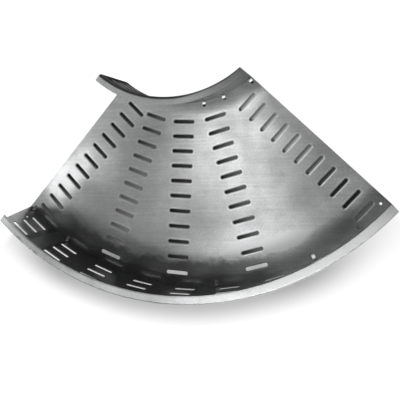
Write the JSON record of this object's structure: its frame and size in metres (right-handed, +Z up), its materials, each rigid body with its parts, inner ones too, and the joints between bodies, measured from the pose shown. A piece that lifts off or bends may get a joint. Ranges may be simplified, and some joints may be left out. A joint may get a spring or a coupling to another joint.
{
  "type": "cable tray bend",
  "caption": "Flat 90 degree bend for a perforated cable tray: a fan of punched sheet between two curved, punched side walls with folded-in lips.",
  "frame": {"origin": "on the tray's underside, under the middle of the part's overall box", "axes": "+Z up from the underside to the lips, -Y out of the bend through the middle of the outer wall, +X along the chord between the tray's two ends"},
  "size_m": [0.6338, 0.3476, 0.075],
  "materials": {
    "galvanised_sheet": "satin"
  },
  "bodies": {
    "root": {"floor_plate": "galvanised_sheet", "inner_wall": "galvanised_sheet", "outer_wall": "galvanised_sheet"}
  },
  "joints": []
}
